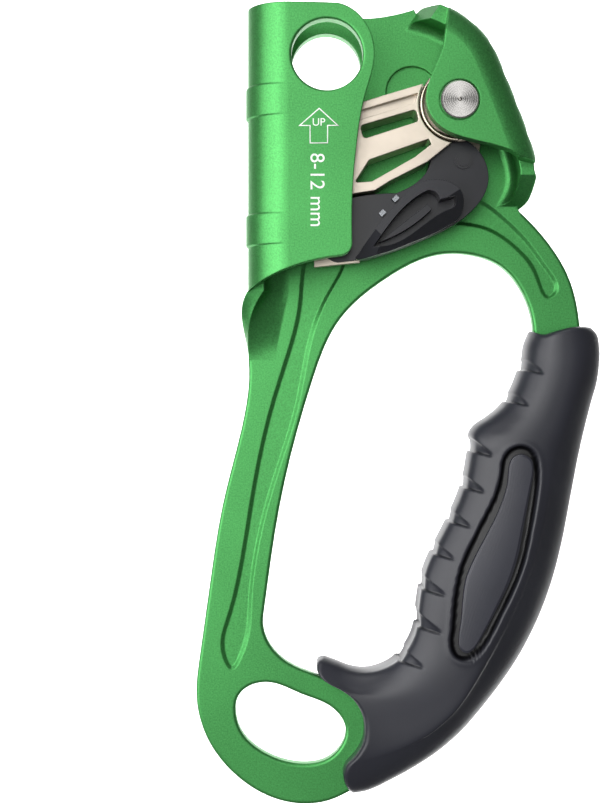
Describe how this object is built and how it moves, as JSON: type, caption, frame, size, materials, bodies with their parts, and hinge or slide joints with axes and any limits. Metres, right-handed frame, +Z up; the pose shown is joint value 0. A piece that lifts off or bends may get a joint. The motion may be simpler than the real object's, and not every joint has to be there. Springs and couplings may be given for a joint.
{
  "type": "hand ascender",
  "caption": "Right-hand rope ascender: bent sheet frame with a rope channel, sprung toothed cam with a thumb trigger, and a moulded hand grip.",
  "frame": {"origin": "on the carabiner hole's axis, in the front face of the back plate", "axes": "+Z up along the rope, +X towards the grip's side, -Y towards the user"},
  "size_m": [0.1009, 0.0304, 0.1986],
  "materials": {
    "anodised_frame": "satin green anodised aluminium",
    "cast_cam": "satin nickel plated cast steel",
    "turned_steel": "turned and spun steel",
    "spring_steel": "drawn spring wire",
    "moulded_black": "moulded black plastic, fine satin",
    "bush_bronze": "sintered bronze",
    "grip_rubber": "satin overmoulded rubber",
    "panel_rubber": "darker satin rubber",
    "core_plastic": "glass filled plastic"
  },
  "bodies": {
    "frame": {"frame_plate": "anodised_frame", "cam_axle": "turned_steel", "axle_front_washer": "turned_steel", "axle_inner_washer": "turned_steel", "axle_rear_washer": "turned_steel", "axle_tail_ring": "turned_steel", "grip_core_front": "core_plastic", "grip_core_rear": "core_plastic", "grip_screws": "turned_steel", "grip_nuts": "turned_steel", "grip_front_panel": "panel_rubber", "grip_rear_panel": "panel_rubber", "grip_overmould": "grip_rubber"},
    "cam": {"cam": "cast_cam", "cam_bush": "bush_bronze", "cam_spring": "spring_steel", "trigger_pin": "turned_steel", "trigger_pin_clip": "spring_steel", "trigger_spring": "spring_steel"},
    "trigger": {"trigger_body": "moulded_black", "trigger_lever": "moulded_black", "lever_studs": "turned_steel", "catch_tip": "cast_cam"}
  },
  "joints": [
    {"name": "cam_pivot", "type": "hinge", "parent": "frame", "child": "cam", "pos_m": [0.0318, -0.006, -0.0109], "axis": [0, -1, 0], "range_deg": [0, 20], "stiffness_Nm_per_rad": 0.08, "springref_deg": -51.57},
    {"name": "trigger_pivot", "type": "hinge", "parent": "cam", "child": "trigger", "pos_m": [0.0334, -0.006, -0.0244], "axis": [0, -1, 0], "range_deg": [0, 10], "stiffness_Nm_per_rad": 0.03, "springref_deg": -28.65}
  ]
}
